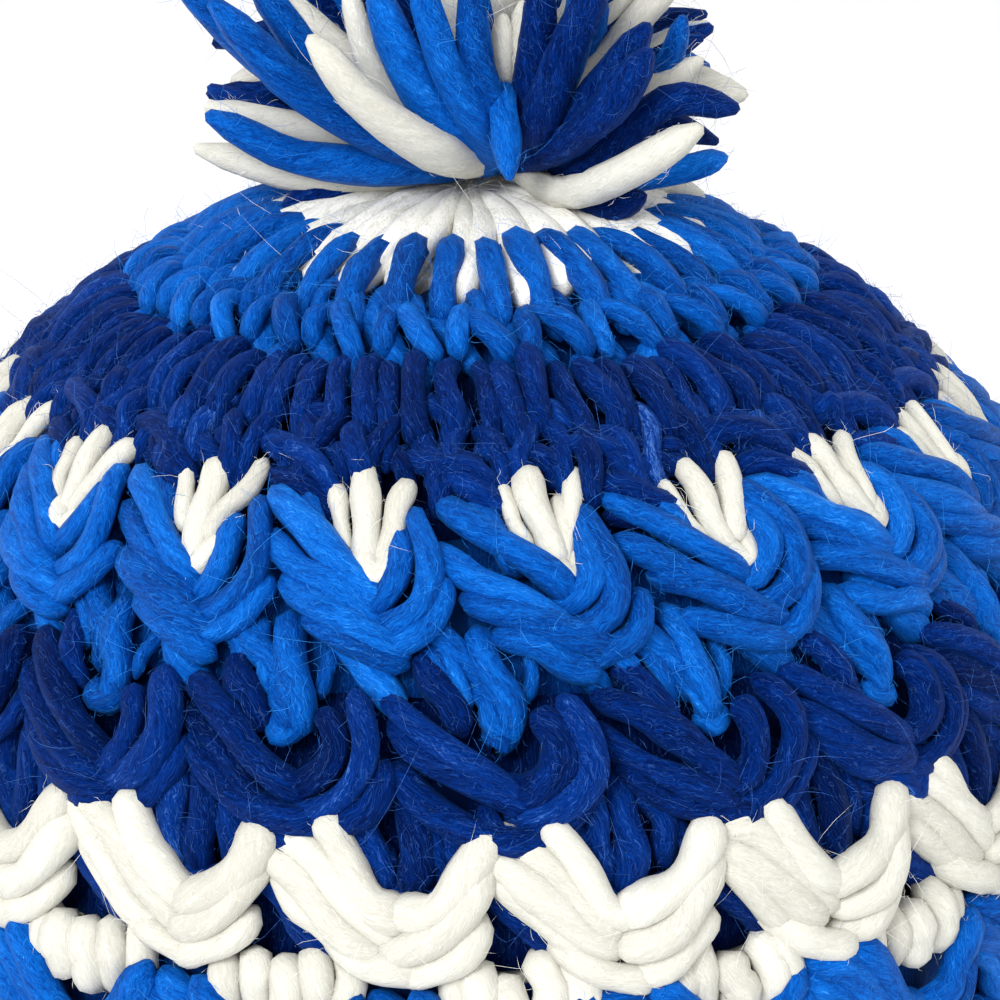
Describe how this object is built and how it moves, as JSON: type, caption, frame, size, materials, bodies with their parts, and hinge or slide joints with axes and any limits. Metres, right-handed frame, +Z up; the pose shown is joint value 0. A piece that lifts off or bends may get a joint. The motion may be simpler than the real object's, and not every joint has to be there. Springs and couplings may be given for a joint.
{
  "type": "pompom beanie",
  "caption": "Chunky crocheted beanie with shell and zigzag rows in two blues and ivory, and a pompom of loose strands.",
  "frame": {"origin": "middle of the brim's resting face, under the middle of the crown", "axes": "+Z up from the brim to the crown, -Y towards the pictured side, +X to the right in the picture"},
  "size_m": [0.2124, 0.2124, 0.2177],
  "materials": {
    "ivory_wool": "thick single-ply wool, loosely twisted, matt with fine stray fibres",
    "bright_blue_wool": "thick single-ply wool, loosely twisted, matt with fine stray fibres",
    "navy_wool": "thick single-ply wool, loosely twisted, matt with fine stray fibres",
    "pompom_wool": "cut strands of the three wools with frayed tips"
  },
  "bodies": {
    "root": {"crown": "ivory_wool", "upper_blue_row": "bright_blue_wool", "upper_navy_row": "navy_wool", "white_tuft_row": "ivory_wool", "blue_shell_row": "bright_blue_wool", "navy_shell_row": "navy_wool", "white_zigzag_row": "ivory_wool", "lower_blue_row": "bright_blue_wool", "lower_navy_row": "navy_wool", "brim": "bright_blue_wool", "pompom": "pompom_wool"}
  },
  "joints": []
}
